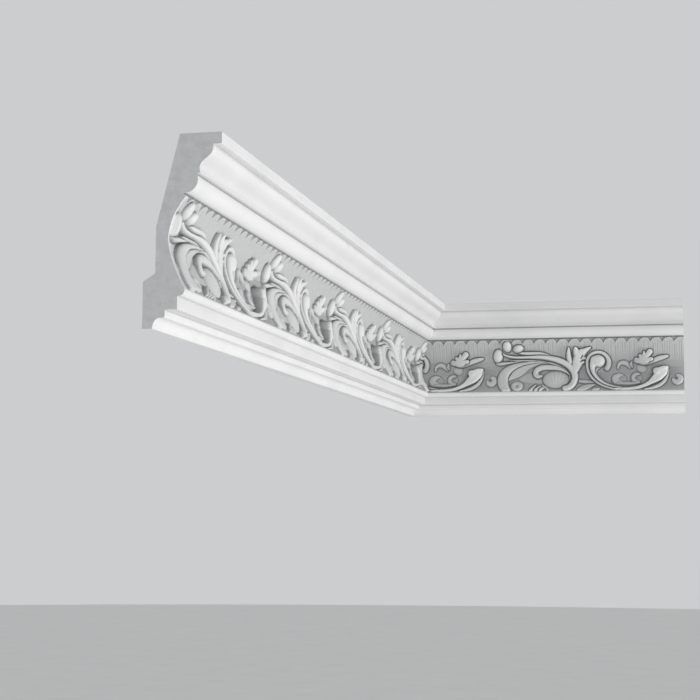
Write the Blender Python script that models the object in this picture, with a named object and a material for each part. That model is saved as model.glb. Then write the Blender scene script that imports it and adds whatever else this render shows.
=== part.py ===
"""A plaster-style cornice moulding turned round an inside corner, in two mitred runs.

Metres, +Z up. The side run lies along Y against the wall plane X = 0 and the back
run lies along X behind it. The origin is the middle of the side run's wall face.
A run is first made in its own axes: X out from the wall, Y along it, Z up from its
bottom edge. The carved frieze repeats along both runs.
"""

import math

import bmesh
import bpy
import numpy as np
from mathutils import Vector

# Driving sizes.
MM = 0.001
HEIGHT = 170 * MM
PROJECTION = 69.6 * MM
SIDE_LENGTH = 1219 * MM
BACK_LENGTH = 432 * MM
MITRE_GAP = 0.3 * MM

# The section, from the ceiling down to the wall and up the hidden back.
TOP_INNER = 31.4 * MM
FASCIA_DEPTH = 10.2 * MM
FASCIA_STEP = 7.7 * MM
FILLET_DEPTH = 8.0 * MM
UPPER_COVE_PULL = 9.6 * MM
UPPER_COVE_PULL_X = 46.0 * MM
UPPER_COVE_FOOT = (50.6 * MM, 135.0 * MM)
QUIRK = (45.4 * MM, 134.2 * MM)
OVOLO_X = 37.0 * MM
OVOLO_Z = 129.0 * MM
OVOLO_RADIUS = 11.4 * MM
NOTCH = (34.8 * MM, 116.9 * MM)
FRIEZE_TOP = (36.5 * MM, 114.2 * MM)
FRIEZE_UPPER_PULL = (18.0 * MM, 99.0 * MM)
FRIEZE_LOWER_PULL = (15.5 * MM, 74.0 * MM)
FRIEZE_BOTTOM = (37.5 * MM, 35.0 * MM)
BEAD_X = 32.9 * MM
BEAD_Z = 33.0 * MM
BEAD_RADIUS = 5.0 * MM
LOWER_FASCIA_X = 31.4 * MM
SOFFIT_Z = 16.4 * MM
FOOT_X = 20.3 * MM
FOOT_Z = 9.4 * MM
LOWER_COVE_CENTRE = (15.3 * MM, -1.0 * MM)
LOWER_COVE_RADII = (9.0 * MM, 10.4 * MM)
WALL_FACE = 41.0 * MM
BACK_X = 11.1 * MM
BACK_LOW_Z = 48.2 * MM
BACK_HIGH_Z = 88.4 * MM

# The frieze's repeat, and where each run starts in it.
REPEAT = 285.1 * MM
SIDE_START = 12.8 * MM
BACK_START = REPEAT - 125.0 * MM
TONGUES = 16
COLUMN = 1.0 * MM
FRIEZE_ROWS = 84
SIDE_TRIANGLES = 6900
BACK_TRIANGLES = 2700
# The groove round a carved form: its width, its depth, and the level it stops at, in mm.
GROOVE = 1.7
CUT = 2.2
FLOOR = -0.6

WHITE = (0.86, 0.86, 0.85, 1.0)


def arc(centre, radii, start, end, count):
    """Points on an ellipse, angles in degrees."""
    angles = np.radians(np.linspace(start, end, count))
    return np.column_stack([centre[0] + radii[0] * np.cos(angles),
                            centre[1] + radii[1] * np.sin(angles)])


def bezier(start, pull_start, pull_end, end, count=14):
    """Points on a cubic curve."""
    t = np.linspace(0, 1, count)[:, None]
    return ((1 - t) ** 3 * np.array(start) + 3 * (1 - t) ** 2 * t * np.array(pull_start)
            + 3 * (1 - t) * t ** 2 * np.array(pull_end) + t ** 3 * np.array(end))


def through(points, count=4):
    """A smooth path through a few points."""
    knots = np.array([points[0], *points, points[-1]], float)
    t = np.linspace(0, 1, count, endpoint=False)[:, None]
    spans = []
    for before, start, end, after in zip(knots, knots[1:], knots[2:], knots[3:]):
        bend = (2 * before - 5 * start + 4 * end - after) * t ** 2
        twist = (3 * start - before - 3 * end + after) * t ** 3
        spans.append((2 * start + (end - before) * t + bend + twist) / 2)
    return np.vstack([*spans, knots[-1:]])


def section():
    """The section's points in order, and the span of them that is the frieze."""
    fillet_x = PROJECTION - FASCIA_STEP
    fascia_z = HEIGHT - FASCIA_DEPTH
    cove_top = (fillet_x, fascia_z - FILLET_DEPTH * 0.4)
    pull_z = cove_top[1] - UPPER_COVE_PULL
    top = [(TOP_INNER, HEIGHT), (PROJECTION, HEIGHT), (PROJECTION, fascia_z),
           (fillet_x, fascia_z)]
    upper_cove = bezier(cove_top, (fillet_x, pull_z), (UPPER_COVE_PULL_X, pull_z),
                        UPPER_COVE_FOOT, 10)
    ovolo = arc((OVOLO_X, OVOLO_Z), (OVOLO_RADIUS,) * 2, 18, -90, 8)
    frieze = bezier(FRIEZE_TOP, FRIEZE_UPPER_PULL, FRIEZE_LOWER_PULL, FRIEZE_BOTTOM,
                    FRIEZE_ROWS)
    bead = arc((BEAD_X, BEAD_Z), (BEAD_RADIUS,) * 2, 5, -90, 6)
    lower_cove = arc(LOWER_COVE_CENTRE, LOWER_COVE_RADII, 90, 174, 7)
    upper = [*top, *upper_cove, QUIRK, *ovolo, NOTCH]
    lower = [*bead, (LOWER_FASCIA_X, BEAD_Z - BEAD_RADIUS), (LOWER_FASCIA_X, SOFFIT_Z),
             (FOOT_X, SOFFIT_Z), (FOOT_X, FOOT_Z), *lower_cove, (0, 0), (0, WALL_FACE),
             (BACK_X, BACK_LOW_Z), (BACK_X, BACK_HIGH_Z)]
    points = np.array([*upper, *frieze, *lower], dtype=float)
    return points, len(upper), len(upper) + len(frieze)


class Relief:
    """A height map in millimetres over one repeat, built up one carved form at a time."""

    def __init__(self, along, up):
        self.along = along
        self.up = up
        self.height = np.zeros(np.broadcast(along, up).shape)

    def lay(self, *forms):
        """Puts joined forms on top, with a groove cut round them.

        Each form is its heights and, before them, the way out of it."""
        outside = np.full(self.height.shape, np.inf)
        crown = np.zeros(self.height.shape)
        for away, form in forms:
            outside = np.minimum(outside, away)
            crown = np.maximum(crown, np.where(away < 0, form, 0))
        bank = np.clip(1 - outside / GROOVE, 0, 1)
        under = np.maximum(self.height - CUT * bank, np.minimum(self.height, FLOOR))
        self.height = np.where(outside < 0, crown, under)

    def tongues(self, pitch, shift, top, radius, thickness, foot):
        """A row of round-topped tongues that die away downwards."""
        across = (self.along - shift + pitch / 2) % pitch - pitch / 2
        crown = top - radius + np.sqrt(np.clip(radius ** 2 - across ** 2, 0, None))
        rounded = np.clip((crown - self.up) / 1.8, 0, 1) ** 0.5
        fade = np.clip((self.up - foot) / (top - foot), 0, 1)
        self.height = thickness * rounded * fade ** 0.8

    def band(self, path, widths, thickness, fullness=3.0):
        """A swept form. Widths run evenly along the path.

        thickness is one height, or heights spread along the path."""
        path = np.array(path)
        half = np.interp(np.linspace(0, 1, len(path)),
                         np.linspace(0, 1, len(widths)), widths) / 2
        nearest = np.full(self.height.shape, np.inf)
        reach = np.ones(self.height.shape)
        travel = np.zeros(self.height.shape)
        for index, (start, end) in enumerate(zip(path, path[1:])):
            step = end - start
            ahead = (self.along - start[0]) * step[0] + (self.up - start[1]) * step[1]
            place = np.clip(ahead / (step @ step), 0, 1)
            off_x = self.along - start[0] - place * step[0]
            off_z = self.up - start[1] - place * step[1]
            local = half[index] + place * (half[index + 1] - half[index])
            outside = np.hypot(off_x, off_z) - local
            closer = outside < nearest
            nearest = np.where(closer, outside, nearest)
            reach = np.where(closer, local, reach)
            travel = np.where(closer, (index + place) / (len(path) - 1), travel)
        if np.ndim(thickness):
            thickness = np.interp(travel, np.linspace(0, 1, len(thickness)), thickness)
        inward = np.clip(1 + nearest / reach, 0, 1)
        return nearest, thickness * np.sqrt(np.clip(1 - inward ** fullness, 0, 1))

    def dome(self, centre, radii, thickness, tilt=0, eye=0.0, sunk=0.9, fullness=2.6):
        """A domed oval. eye and sunk are the size and the depth of a dimple in its middle."""
        turn = math.radians(tilt)
        off_x = self.along - centre[0]
        off_z = self.up - centre[1]
        across = (off_x * math.cos(turn) + off_z * math.sin(turn)) / radii[0]
        rise = (off_z * math.cos(turn) - off_x * math.sin(turn)) / radii[1]
        ring = np.hypot(across, rise)
        form = thickness * np.sqrt(np.clip(1 - ring ** fullness, 0, 1))
        if eye:
            form = form * (1 - sunk * np.exp(-(ring / eye) ** 2))
        return (ring - 1) * min(radii), form


def carve(along, up, buds):
    """The heights, in millimetres, of one repeat of the frieze's scrolls and leaves."""
    relief = Relief(along, up)
    relief.tongues(REPEAT / MM / TONGUES, -1.6, 115.0, 9.1, 2.3, 82)
    carve_foot_leaves(relief)
    if buds:
        carve_buds(relief)
    carve_leaf_scroll(relief)
    carve_trunk(relief)
    carve_volute(relief)
    carve_small_scrolls(relief)
    carve_crest(relief)
    carve_sweep(relief)
    return relief.height


def carve_foot_leaves(relief):
    """The low curl and the small leaves at the foot of the pattern."""
    relief.lay(relief.band(arc((10.6, 52.4), (5.1, 5.1), 140, 410, 14),
                           (5.4, 8, 9.6, 9.8, 8.6, 6.4), 4.2))
    relief.lay(relief.band(through([(148.5, 50.6), (157, 49.6), (170, 48.2)]), (5, 6.4, 3.5), 2.6))
    relief.lay(relief.band(through([(147, 36.6), (155, 39.6), (165, 43), (172, 44.8)]),
                           (5, 8, 9, 7, 4, 2), 3.0))
    relief.lay(relief.band(through([(170, 35.6), (173, 37), (177.5, 38)]), (5, 6.5, 4.5), 2.4))


def carve_buds(relief):
    """The three buds, their pods and the thin rib that runs on under the trunk."""
    pod = through([(53, 96), (63, 95), (75, 94.8), (88, 94.6), (102, 91.8)])
    relief.lay(relief.band(pod, (1.6, 5, 6, 6, 5, 1.4), 6.4))
    relief.lay(relief.band(through([(20, 80), (27, 79.7), (38, 80.8), (56, 82.6)]),
                           (4.6, 6, 5.4, 4.2, 2.8, 1.4), 5.0))
    rib = [*bezier((40, 84), (70, 84.2), (96, 84), (116, 75)),
           *bezier((116, 75), (128, 69), (134.5, 62), (133.4, 52))[1:]]
    relief.lay(relief.band(rib, (1.6, 2.8, 3, 3, 2.8, 2.4, 2), 5.4))
    relief.lay(relief.dome((21.4, 91.6), (7.9, 10.8), 7.6, -8))
    relief.lay(relief.dome((36.4, 105.6), (7.4, 8.2), 7.8))
    relief.lay(relief.dome((53.4, 102.2), (8.7, 6.1), 7.8, 14))


def carve_leaf_scroll(relief):
    """The leaf scroll, its inner leaf, the ring flower, the hook and the sprigs."""
    relief.lay(relief.band(bezier((58, 54), (70, 58), (82, 56), (90, 50)), (8, 17, 15, 7), 1.3))
    for sprig in range(3):
        foot = 72 + 7.5 * sprig
        blade = [(foot, 35.5), (foot + 4, 39.5), (foot + 10, 45.5 - 2 * sprig)]
        relief.lay(relief.band(blade, (3, 5, 3, 1), 2.4))
    inner = through([(37.6, 52.4), (47, 61), (57, 68), (70, 74.6), (85, 78.6), (100, 79.6)])
    relief.lay(relief.band(inner, (1.6, 7, 12.5, 15.5, 14, 10, 7.4, 5.6, 3.6, 2), 3.4, 4))
    outer = [*bezier((96, 81.4), (72, 82), (50, 79.5), (37, 69)),
             *bezier((37, 69), (27, 60), (26.5, 48), (36, 37))[1:]]
    relief.lay(relief.band(outer, (1.6, 3, 5, 9, 13.5, 16.5, 17.5, 16.5, 12), 5.2, 4))
    relief.lay(relief.dome((52, 43.4), (9.8, 7.9), 4.4, eye=0.42))
    hook = [*bezier((133, 60), (126, 69), (112, 73), (98, 73.2)),
            *bezier((98, 73.2), (84, 73.6), (78.5, 67), (81, 61))[1:],
            *bezier((81, 61), (83, 57.8), (86, 57.8), (89, 59.5), 6)[1:]]
    relief.lay(relief.band(hook, (1.6, 5, 8, 9, 9, 9, 8.6, 7.6, 6, 4.6), 5.6, 3.6))


def carve_trunk(relief):
    """The shell, and the stem that swells into the trunk with the upright leaf on its back."""
    relief.lay(relief.dome((112, 53.4), (20.6, 14), 6.0, eye=0.66, sunk=0.5))
    stem = [*bezier((30, 94.6), (40, 87), (60, 89.6), (84, 89.2)),
            *bezier((84, 89.2), (112, 88.4), (141, 78), (141.4, 56))[1:],
            *bezier((141.4, 56), (141, 46), (134, 38.6), (126, 39.4))[1:]]
    relief.lay(relief.band(stem, (3, 4, 4.2, 4.8, 7, 9.6, 10.6, 10.6, 10.2, 10, 9.4, 8.4), 7.0),
               relief.band(through([(140, 66), (145, 80), (147, 91)]), (11, 17, 17), 7.0, 4),
               relief.band(through([(134, 80), (131.5, 91), (132, 102.4)]), (7, 9, 7, 2.4), 6.6),
               relief.band(through([(147, 86), (143.6, 96), (142, 102.6)]), (16, 13, 9, 3.6), 7.0),
               relief.band(through([(148, 88), (156, 97.5), (165.6, 102.6)]), (14, 11, 7, 2), 7.0),
               relief.band([(148, 86), (153, 86.6), (157, 86.2)], (7, 6, 4), 6.6),
               relief.band([(146, 78), (151, 79.6), (154.4, 80.2)], (8, 6.4, 4), 6.6))


def carve_volute(relief):
    """The great volute with its filled bulb and tongue."""
    ring = [*arc((176.5, 79.5), (16.6, 15.8), -36, 180, 22),
            *bezier((159.9, 79.5), (159, 61), (172, 42), (206, 36.8))[1:]]
    relief.lay(relief.band(ring, (7, 6.6, 6, 5.6, 5.4, 5.2, 5, 4.8, 4, 3), 6.0))
    tongue = [*bezier((171, 84), (165.6, 74), (168, 62), (177.6, 53)),
              *bezier((177.6, 53), (185, 46), (196, 41.4), (212, 39.6))[1:]]
    relief.lay(relief.dome((176.6, 81.6), (11, 10), 10.6, fullness=4),
               relief.band(tongue, (12, 9.4, 7.4, 5.6, 4.8, 4, 3.4, 2.6),
                           (10, 9, 8, 7, 6, 5.6), 3.6))


def carve_small_scrolls(relief):
    """The pair of low scrolls inside the sweep and the curl above them."""
    strip = through([(206, 47), (216, 46.6), (228, 46.4), (240, 47.6)])
    relief.lay(relief.band(strip, (3, 6, 6, 4), 2.6))
    first = [*arc((210.5, 53.2), (9.4, 8), 285, 60, 16),
             *arc((212.6, 55.4), (5.8, 4.9), 55, -60, 8)]
    relief.lay(relief.band(first, (3, 6, 8, 8.6, 8, 7, 5, 3), 3.4))
    second = [*arc((236, 55), (8, 7), 290, 50, 16),
              *arc((237.6, 56.6), (5, 4.2), 45, -120, 8)]
    relief.lay(relief.band(second, (3, 5, 6.6, 6.8, 6, 4.8, 3.6, 2), 3.6))
    curl = [*bezier((206.6, 70), (207, 79), (214, 80.6), (219, 77.6), 8),
            *bezier((219, 77.6), (223, 75), (224.4, 72), (225.6, 69.4), 6)[1:]]
    relief.lay(relief.band(curl, (3, 5.6, 7.4, 7, 5, 2), 3.6))
    relief.lay(relief.band([(228, 80.4), (226.6, 76), (228.6, 71.6)], (2, 5.2, 3), 2.8))
    relief.lay(relief.dome((242.6, 69), (7.4, 6.6), 3.4))


def carve_crest(relief):
    """The lobed leaf at the crest and the pointed leaf beside it."""
    relief.lay(relief.band(through([(250, 75), (258, 79.4), (267, 84), (276, 86.6), (282, 88)]),
                           (1.8, 4.4, 7.4, 7.8, 6.4, 3.6), 3.6))
    lobes = (((244, 81), (235, 81.8), (9, 8.6)), ((236, 84), (234.2, 84.6), (5, 4.4)),
             ((244, 83), (240.8, 89), (8, 6)), ((246, 85), (246.8, 94.2), (8, 4)),
             ((248, 85), (255.4, 94.8), (8, 9)), ((250, 82), (257.4, 83.4), (7, 7)))
    relief.lay(relief.dome((246, 81), (9.6, 6.6), 6.0, fullness=3.6),
               *[relief.band([root, tip], widths, 6.0) for root, tip, widths in lobes])


def carve_sweep(relief):
    """The long sweep that rises into a curled leaf, and the leaf edge under it."""
    relief.lay(relief.band(bezier((247, 36.4), (262, 38), (283, 43), (283.4, 68)),
                           (1.6, 4.6, 6, 5, 1.6), 4.6))
    path = [*bezier((203, 37.4), (224, 37.4), (241, 36.6), (256, 47)),
            *bezier((256, 47), (264, 53), (273, 60), (281, 70.4))[1:]]
    relief.lay(relief.band(path, (3, 4, 4.6, 5.2, 7.4, 11.4, 15.5, 15, 4),
                           (5.6, 5.6, 6, 6.6, 7.6, 9.6, 11.6, 11.6, 10), 4.0),
               relief.dome((265.6, 64.4), (6, 6), 12, fullness=4),
               relief.band(through([(268, 67), (276, 69.4), (282, 70.8)]), (6, 7, 3), 11))


def tapered(height, rows):
    """The heights with the frieze's first and last rows brought down to its edges."""
    last = rows.max()
    edge = np.clip(np.minimum(rows, last - rows) / 2.0, 0, 1)
    return height * edge


def open_tube(length, start, plain_last):
    """The points and quads of a run's surface, an open tube 10 mm too long at each end.

    plain_last leaves the buds out of the last, unfinished repeat."""
    spare = 10 * MM
    points, frieze_first, frieze_end = section()
    columns = int(round((length + 2 * spare) / COLUMN)) + 1
    run = np.linspace(-spare, length + spare, columns)
    rows = np.arange(frieze_end - frieze_first)
    frieze = points[frieze_first:frieze_end]
    along = ((run + start) % REPEAT / MM)[:, None]
    up = frieze[None, :, 1] / MM
    height = carve(along, up, True)
    if plain_last:
        whole = (math.ceil((length + start) / REPEAT) - 1) * REPEAT
        height = np.where((run + start >= whole)[:, None], carve(along, up, False), height)
    height = tapered(height, rows[None, :]) * MM
    count = len(points)
    place = np.zeros((columns, count, 3))
    place[:, :, 0] = points[None, :, 0]
    place[:, :, 1] = run[:, None]
    place[:, :, 2] = points[None, :, 1]
    place[:, frieze_first:frieze_end, 0] += height
    ring = np.arange(count)
    column = np.arange(columns - 1)[:, None] * count
    faces = np.stack([column + ring, column + np.roll(ring, -1),
                      column + count + np.roll(ring, -1), column + count + ring], axis=-1)
    return place.reshape(-1, 3).tolist(), faces.reshape(-1, 4).tolist()


def cut_off(body, ends):
    """Cuts the tube off at each end's plane, and leaves it open there."""
    shape = bmesh.new()
    shape.from_mesh(body.data)
    bmesh.ops.triangulate(shape, faces=shape.faces)
    for point, normal in ends:
        geometry = [*shape.verts, *shape.edges, *shape.faces]
        bmesh.ops.bisect_plane(shape, geom=geometry, plane_co=point, plane_no=normal,
                               dist=1e-7, clear_outer=True)
    shape.to_mesh(body.data)
    shape.free()


def thin_out(body, triangles):
    """Keeps the triangles that the carving needs."""
    faces = sum(len(face.vertices) - 2 for face in body.data.polygons)
    thin = body.modifiers.new("Thin", "DECIMATE")
    thin.ratio = triangles / faces
    graph = bpy.context.evaluated_depsgraph_get()
    thinned = bpy.data.meshes.new_from_object(body.evaluated_get(graph))
    body.modifiers.clear()
    body.data = thinned


def close_ends(body, ends):
    """Lays each open rim back on its plane and fills it, with every face outwards."""
    shape = bmesh.new()
    shape.from_mesh(body.data)
    rim = [edge for edge in shape.edges if edge.is_boundary]
    for point, normal in ends:
        normal = Vector(normal).normalized()
        for vertex in {vertex for edge in rim for vertex in edge.verts}:
            off = (vertex.co - Vector(point)).dot(normal)
            if abs(off) < MM:
                vertex.co.y -= off / normal.y
    bmesh.ops.edgeloop_fill(shape, edges=rim)
    bmesh.ops.triangulate(shape, faces=shape.faces)
    bmesh.ops.recalc_face_normals(shape, faces=shape.faces)
    shape.to_mesh(body.data)
    shape.free()


def run_body(name, length, start, triangles, ends, material, collection, plain_last):
    """One closed run. ends are the planes, as point and outward normal, that it stops at."""
    mesh = bpy.data.meshes.new(name)
    places, faces = open_tube(length, start, plain_last)
    mesh.from_pydata(places, [], faces)
    body = bpy.data.objects.new(name, mesh)
    collection.objects.link(body)
    cut_off(body, ends)
    thin_out(body, triangles)
    close_ends(body, ends)
    body.data.materials.append(material)
    return body


def white_finish():
    """The white primer that covers the moulding."""
    material = bpy.data.materials.new("white_primer")
    material.use_nodes = True
    shader = material.node_tree.nodes["Principled BSDF"]
    shader.inputs["Base Color"].default_value = WHITE
    shader.inputs["Roughness"].default_value = 0.6
    shader.inputs["Metallic"].default_value = 0.0
    return material


def build():
    """Makes both runs and sets them in the corner."""
    for item in list(bpy.data.objects):
        bpy.data.objects.remove(item)
    cornice = bpy.data.collections.new("cornice_moulding")
    bpy.context.scene.collection.children.link(cornice)
    material = white_finish()
    half_gap = MITRE_GAP / 2 * math.sqrt(2)

    side = run_body("side_run", SIDE_LENGTH, SIDE_START, SIDE_TRIANGLES,
                    [((0, 0, 0), (0, -1, 0)), ((0, SIDE_LENGTH - half_gap, 0), (1, 1, 0))],
                    material, cornice, False)
    side.location = (0, -SIDE_LENGTH / 2, -WALL_FACE / 2)
    back = run_body("back_run", BACK_LENGTH, BACK_START, BACK_TRIANGLES,
                    [((0, BACK_LENGTH, 0), (0, 1, 0)), ((0, half_gap, 0), (1, -1, 0))],
                    material, cornice, True)
    back.location = (0, SIDE_LENGTH / 2, -WALL_FACE / 2)
    back.rotation_euler = (0, 0, -math.pi / 2)


build()
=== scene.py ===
"""The looks of a cornice moulding turned round an inside corner.

Each run is one fine mesh: plain mouldings swept along the wall, and a frieze whose carved
repeat is laid along the run by Geometry Nodes. Metres, +Z up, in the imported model's frame.
"""

import math

import bmesh
import bpy
import numpy as np
from bpy.props import FloatProperty, FloatVectorProperty, IntProperty, PointerProperty
from mathutils import Matrix, Vector


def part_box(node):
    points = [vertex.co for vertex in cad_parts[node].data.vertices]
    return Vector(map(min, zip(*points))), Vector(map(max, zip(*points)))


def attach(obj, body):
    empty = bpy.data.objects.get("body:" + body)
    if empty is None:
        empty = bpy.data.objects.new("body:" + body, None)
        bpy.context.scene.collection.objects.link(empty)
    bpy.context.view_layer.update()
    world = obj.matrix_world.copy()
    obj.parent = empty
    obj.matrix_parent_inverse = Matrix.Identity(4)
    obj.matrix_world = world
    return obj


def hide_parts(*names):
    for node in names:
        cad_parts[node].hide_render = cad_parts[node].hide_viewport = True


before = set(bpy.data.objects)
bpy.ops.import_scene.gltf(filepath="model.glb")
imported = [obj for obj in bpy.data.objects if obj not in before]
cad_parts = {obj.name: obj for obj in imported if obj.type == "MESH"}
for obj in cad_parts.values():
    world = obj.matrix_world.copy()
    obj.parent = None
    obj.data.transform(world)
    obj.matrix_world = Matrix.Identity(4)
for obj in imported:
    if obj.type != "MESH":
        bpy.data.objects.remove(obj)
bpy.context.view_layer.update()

bl_info = {
    "name": "Carved Corner Cornice",
    "version": (1, 0, 0),
    "blender": (4, 5, 0),
    "location": "3D View > Sidebar > Cornice",
    "description": "Builds a mitred cornice with a carved frieze, its finish and its studio",
    "category": "Object",
}

MM = 0.001
SIDE_LOW, SIDE_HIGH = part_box("side_run")
BACK_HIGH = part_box("back_run")[1]
HEIGHT = SIDE_HIGH.z - SIDE_LOW.z
PROJECTION = SIDE_HIGH.x - SIDE_LOW.x
WALL_X = SIDE_LOW.x
BASE_Z = SIDE_LOW.z
NEAR_Y = SIDE_LOW.y
CORNER_Y = BACK_HIGH.y
END_X = BACK_HIGH.x
# The gap between the two mitre faces, and how far each is set back along its run.
MITRE_GAP = 0.3 * MM
SET_BACK = MITRE_GAP / 2 * math.sqrt(2)
# The frieze's ground runs between two points of the section, bent by two pulls.
FRIEZE_TOP = (37.0 * MM, 116.0 * MM)
FRIEZE_UPPER_PULL = (18.0 * MM, 99.0 * MM)
FRIEZE_LOWER_PULL = (15.5 * MM, 74.0 * MM)
FRIEZE_BOTTOM = (37.5 * MM, 35.0 * MM)
# The groove cut round a carved form: its width, its depth, and the level it stops at, in mm.
MOAT = 1.7
CUT = 2.6
FLOOR = -1.2
# The section's inner corners and the middle of its upper cove.
QUIRK = (45.4 * MM, 134.2 * MM)
UNDER_FASCIA = (61.9 * MM, 159.8 * MM)
UPPER_COVE = (53.5 * MM, 144.5 * MM)
UNDER_OVOLO = (36.0 * MM, 117.2 * MM)
UNDER_BEAD = (32.0 * MM, 28.0 * MM)
UNDER_SOFFIT = (20.3 * MM, 16.4 * MM)
# How far the painted shade spreads from an inner corner.
SPREAD = 1.8 * MM
# The places in the section that get painted shade: x, z, how dark, and how far it reaches.
SHADED_HOLLOWS = ((*QUIRK, 0.6, SPREAD), (*UNDER_OVOLO, 1.0, SPREAD), (*UNDER_FASCIA, 0.45, SPREAD),
           (*UNDER_SOFFIT, 0.55, 1.1 * MM), (*UNDER_BEAD, 0.35, SPREAD),
           (*UPPER_COVE, 0.16, 9.0 * MM))
# Points nearer than this to each other are one point.
WELD = 0.05 * MM
# The order of a run's materials.
PRIMER, FOAM, SKIN = range(3)
# The plain margin at the side run's square end ends within this distance of it.
MARGIN = 10 * MM
# An outline that turns by less than this keeps its corner.
SLIGHT_TURN = math.radians(25)
# Faces that meet at more than this angle show a crisp edge.
CRISP = math.radians(62)
# A strip this many times as wide as the next one is a flat beside its arris.
FLAT = 3.5


def length_setting(name, description, default):
    """A setting that is a length."""
    return FloatProperty(name=name, description=description, default=default, unit="LENGTH")


def colour_setting(name, description, default):
    """A setting that is a colour."""
    return FloatVectorProperty(name=name, description=description, default=default,
                               subtype="COLOR", min=0, max=1)


class CorniceSection(bpy.types.PropertyGroup):
    """The plain mouldings above and below the frieze."""

    fascia: length_setting("Fascia", "Height of the top fascia", 10.2 * MM)
    step: length_setting("Step", "How far the fascia stands out", 7.7 * MM)
    fillet: length_setting("Fillet", "Height of the fillet under the fascia", 3.2 * MM)
    cove: length_setting("Upper cove", "How deep the upper cove's curve pulls", 9.6 * MM)
    ovolo: length_setting("Ovolo", "Radius of the round over the frieze", 11.4 * MM)
    bead: length_setting("Bead", "Radius of the bead under the frieze", 5.0 * MM)
    foot: length_setting("Foot", "Height of the round at the foot", 9.4 * MM)
    arris: length_setting("Arris", "How much the mould softens an edge", 0.35 * MM)


class CorniceFrieze(bpy.types.PropertyGroup):
    """The carved frieze."""

    repeat: length_setting("Repeat", "Length of one repeat of the carving", 285.1 * MM)
    side_start: length_setting("Side start", "Where the side run starts in it", 12.8 * MM)
    back_start: length_setting("Back start", "Where the back run starts in it", 160.1 * MM)
    tongues: IntProperty(name="Tongues", description="Round-topped tongues in a repeat",
                         default=16, min=1)
    cell: length_setting("Cell", "Width of the mesh cells before thinning", 0.5 * MM)
    rows: IntProperty(name="Rows", description="Mesh rows up the frieze", default=190, min=20)
    side_triangles: IntProperty(name="Side triangles", description="Kept on the side run",
                                default=188000)
    back_triangles: IntProperty(name="Back triangles", description="Kept on the back run",
                                default=150000)


class CorniceFinish(bpy.types.PropertyGroup):
    """The primer with its painted shade, the bare skin at the back and the cut foam at the ends."""

    primer: colour_setting("Primer", "Colour of the white primer", (0.80, 0.80, 0.795))
    primer_worn: colour_setting("Primer shade", "The primer's greyer drift", (0.73, 0.73, 0.73))
    # The colour painted in as shade in the hollows, grooves and flanks.
    painted_shade_colour: colour_setting("Painted shade in hollows",
                                  "Colour of the shade painted in the hollows",
                                  (0.30, 0.305, 0.31))
    primer_rough: FloatProperty(name="Primer roughness", description="Roughness of the primer",
                                default=0.55, min=0, max=1)
    core: colour_setting("Foam", "Colour of the cut foam", (0.64, 0.65, 0.655))
    skin: colour_setting("Skin", "Colour of the bare skin at the back", (0.72, 0.70, 0.65))


class CorniceStage(bpy.types.PropertyGroup):
    """The floor, the lights and the camera."""

    floor_drop: length_setting("Floor", "How far the floor lies below the part", 1.9)
    floor_colour: colour_setting("Floor colour", "Colour of the floor", (0.90, 0.90, 0.89))
    key_power: FloatProperty(name="Key", description="Power of the key light", default=31.0,
                             unit="POWER")
    fill_power: FloatProperty(name="Fill", description="Power of the light before the back run",
                              default=16.0, unit="POWER")
    near_dim: FloatProperty(name="Near side", default=0.44,
                            description="Strength of the surroundings behind the viewer")
    far_dim: FloatProperty(name="Far side", default=0.62,
                           description="Strength of the surroundings beyond the part")
    lens: FloatProperty(name="Lens", description="Focal length on a 36 mm frame", default=82.37,
                        unit="CAMERA")


def arc(centre, radii, start, end, count):
    """Points on an ellipse, angles in degrees."""
    angles = np.radians(np.linspace(start, end, count))
    return np.column_stack([centre[0] + radii[0] * np.cos(angles),
                            centre[1] + radii[1] * np.sin(angles)])


def bezier(start, pull_start, pull_end, end, count=22):
    """Points on a cubic curve."""
    t = np.linspace(0, 1, count)[:, None]
    return ((1 - t) ** 3 * np.array(start) + 3 * (1 - t) ** 2 * t * np.array(pull_start)
            + 3 * (1 - t) * t ** 2 * np.array(pull_end) + t ** 3 * np.array(end))


def frieze_line(count):
    """The frieze's plain ground in the section, from its top edge to its bottom edge."""
    return bezier(FRIEZE_TOP, FRIEZE_UPPER_PULL, FRIEZE_LOWER_PULL, FRIEZE_BOTTOM, count)


def softened(corners, arris):
    """An open outline with its corners rounded off, by their own third number or by arris."""
    points = [Vector(corner[:2]) for corner in corners]
    radii = [corner[2] if len(corner) > 2 else arris for corner in corners]
    soft = [points[0]]
    for before, corner, after, radius in zip(points, points[1:], points[2:], radii[1:]):
        back = before - corner
        ahead = after - corner
        turn = back.angle(-ahead, 0)
        cut = min(radius, back.length * 0.45, ahead.length * 0.45)
        if turn < SLIGHT_TURN:
            soft.append(corner)
            continue
        enter = corner + back.normalized() * cut
        leave = corner + ahead.normalized() * cut
        for share in (0, 0.25, 0.5, 0.75, 1):
            first = enter.lerp(corner, share)
            soft.append(first.lerp(corner.lerp(leave, share), share))
    soft.append(points[-1])
    return soft


def painted_shade_at(x, z):
    """How much painted shade a point of the section gets from its hollows, from 0 to 1."""
    return max(share * math.exp(-((x - hollow_x) ** 2 + (z - hollow_z) ** 2) / reach ** 2)
               for hollow_x, hollow_z, share, reach in SHADED_HOLLOWS)


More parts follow.
